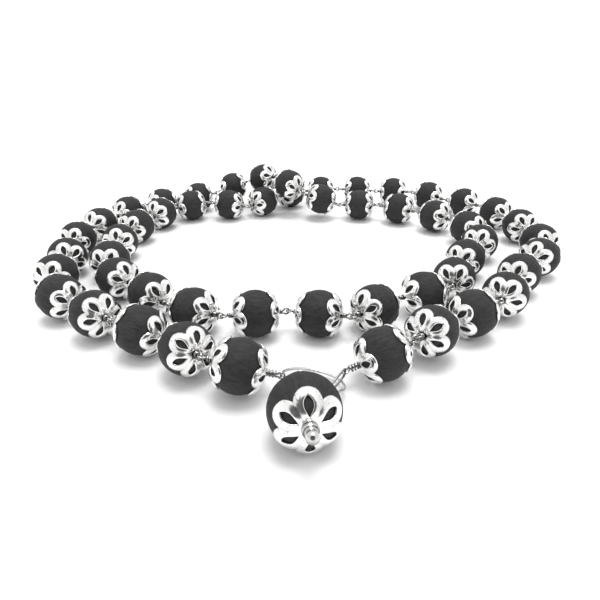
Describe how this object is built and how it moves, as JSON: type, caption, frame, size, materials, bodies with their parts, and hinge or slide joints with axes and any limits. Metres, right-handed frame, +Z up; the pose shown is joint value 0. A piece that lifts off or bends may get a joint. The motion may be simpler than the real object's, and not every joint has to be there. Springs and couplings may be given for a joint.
{
  "type": "mala bead necklace",
  "caption": "Mala of round dark wooden beads with pierced six-petal silver caps, wire-linked, with a larger guru bead, laid in two turns.",
  "frame": {"origin": "centre of the bounding box's bottom face, on the surface that the mala lies on", "axes": "+Z up from the surface, +X to the right and -Y towards the guru bead at the front, as in the picture"},
  "size_m": [0.1136, 0.1146, 0.0131],
  "materials": {
    "dark_wood": "satin charcoal-stained wood",
    "silver": "polished silver"
  },
  "bodies": {
    "root": {"beads": "dark_wood", "bead_caps_first_half": "silver", "bead_caps_second_half": "silver", "wire_links": "silver", "guru_bead": "dark_wood", "guru_caps": "silver", "guru_pin": "silver", "joining_ring": "silver", "end_hook": "silver"}
  },
  "joints": []
}
